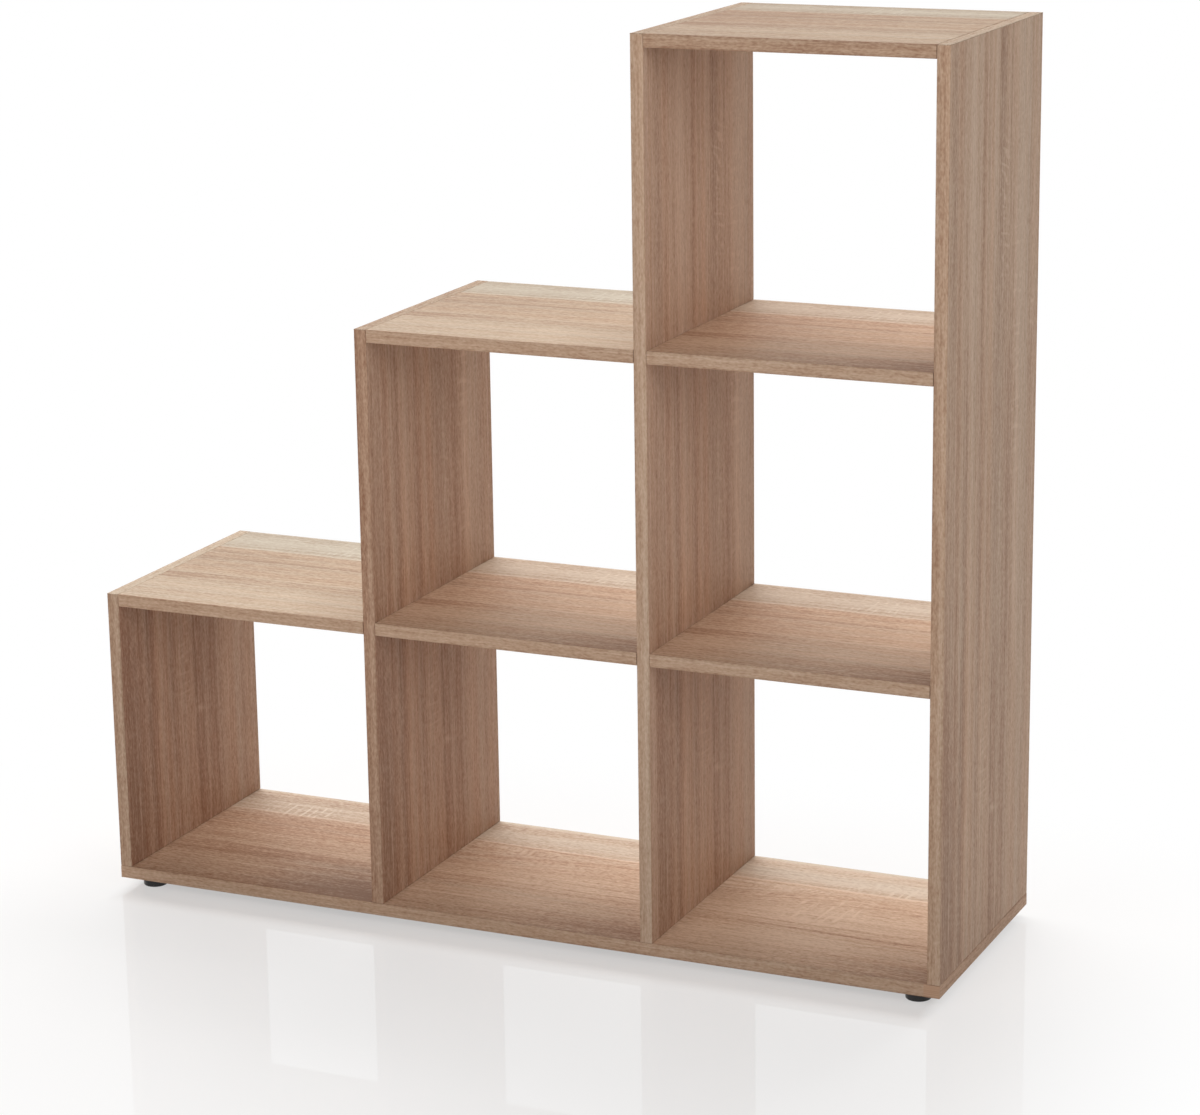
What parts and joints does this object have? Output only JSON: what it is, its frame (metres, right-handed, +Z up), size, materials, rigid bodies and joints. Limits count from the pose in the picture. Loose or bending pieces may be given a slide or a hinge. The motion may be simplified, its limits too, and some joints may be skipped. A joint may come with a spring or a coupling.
{
  "type": "staircase bookshelf",
  "caption": "Stepped open bookshelf of melamine-faced boards on round feet, with open compartments that rise from left to right.",
  "frame": {"origin": "on the floor, under the middle of the base board", "axes": "+Z up, front towards -Y, the lowest step towards -X and the highest towards +X"},
  "size_m": [1.05, 0.32, 1.062],
  "materials": {
    "oak_melamine": "matt melamine-faced board with a light rough-sawn oak decor, grain upright on the uprights and lengthwise on the other boards, edges banded to match",
    "zinc": "die-cast zinc, dull",
    "steel": "turned steel, zinc-plated",
    "black_plastic": "moulded black plastic, glossy"
  },
  "bodies": {
    "root": {"base_board": "oak_melamine", "left_upright": "oak_melamine", "inner_left_upright": "oak_melamine", "inner_right_upright": "oak_melamine", "right_upright": "oak_melamine", "low_step_top": "oak_melamine", "middle_step_shelf": "oak_melamine", "middle_step_top": "oak_melamine", "high_step_lower_shelf": "oak_melamine", "high_step_upper_shelf": "oak_melamine", "high_step_top": "oak_melamine", "foot_front_left": "black_plastic", "foot_front_right": "black_plastic", "foot_back_left": "black_plastic", "foot_back_right": "black_plastic", "low_step_top_cam_left_front": "zinc", "low_step_top_cam_left_back": "zinc", "low_step_top_cam_right_front": "zinc", "low_step_top_cam_right_back": "zinc", "middle_step_shelf_cam_left_front": "zinc", "middle_step_shelf_cam_left_back": "zinc", "middle_step_shelf_cam_right_front": "zinc", "middle_step_shelf_cam_right_back": "zinc", "middle_step_top_cam_left_front": "zinc", "middle_step_top_cam_left_back": "zinc", "middle_step_top_cam_right_front": "zinc", "middle_step_top_cam_right_back": "zinc", "high_step_lower_shelf_cam_left_front": "zinc", "high_step_lower_shelf_cam_left_back": "zinc", "high_step_lower_shelf_cam_right_front": "zinc", "high_step_lower_shelf_cam_right_back": "zinc", "high_step_upper_shelf_cam_left_front": "zinc", "high_step_upper_shelf_cam_left_back": "zinc", "high_step_upper_shelf_cam_right_front": "zinc", "high_step_upper_shelf_cam_right_back": "zinc", "high_step_top_cam_left_front": "zinc", "high_step_top_cam_left_back": "zinc", "high_step_top_cam_right_front": "zinc", "high_step_top_cam_right_back": "zinc", "left_upright_bolt_1_front": "steel", "left_upright_bolt_1_back": "steel", "inner_left_upright_bolt_1_front": "steel", "inner_left_upright_bolt_1_back": "steel", "inner_left_upright_bolt_2_front": "steel", "inner_left_upright_bolt_2_back": "steel", "inner_right_upright_bolt_1_front": "steel", "inner_right_upright_bolt_1_back": "steel", "inner_right_upright_bolt_2_front": "steel", "inner_right_upright_bolt_2_back": "steel", "inner_right_upright_bolt_3_front": "steel", "inner_right_upright_bolt_3_back": "steel", "right_upright_bolt_1_front": "steel", "right_upright_bolt_1_back": "steel", "right_upright_bolt_2_front": "steel", "right_upright_bolt_2_back": "steel", "right_upright_bolt_3_front": "steel", "right_upright_bolt_3_back": "steel"}
  },
  "joints": []
}
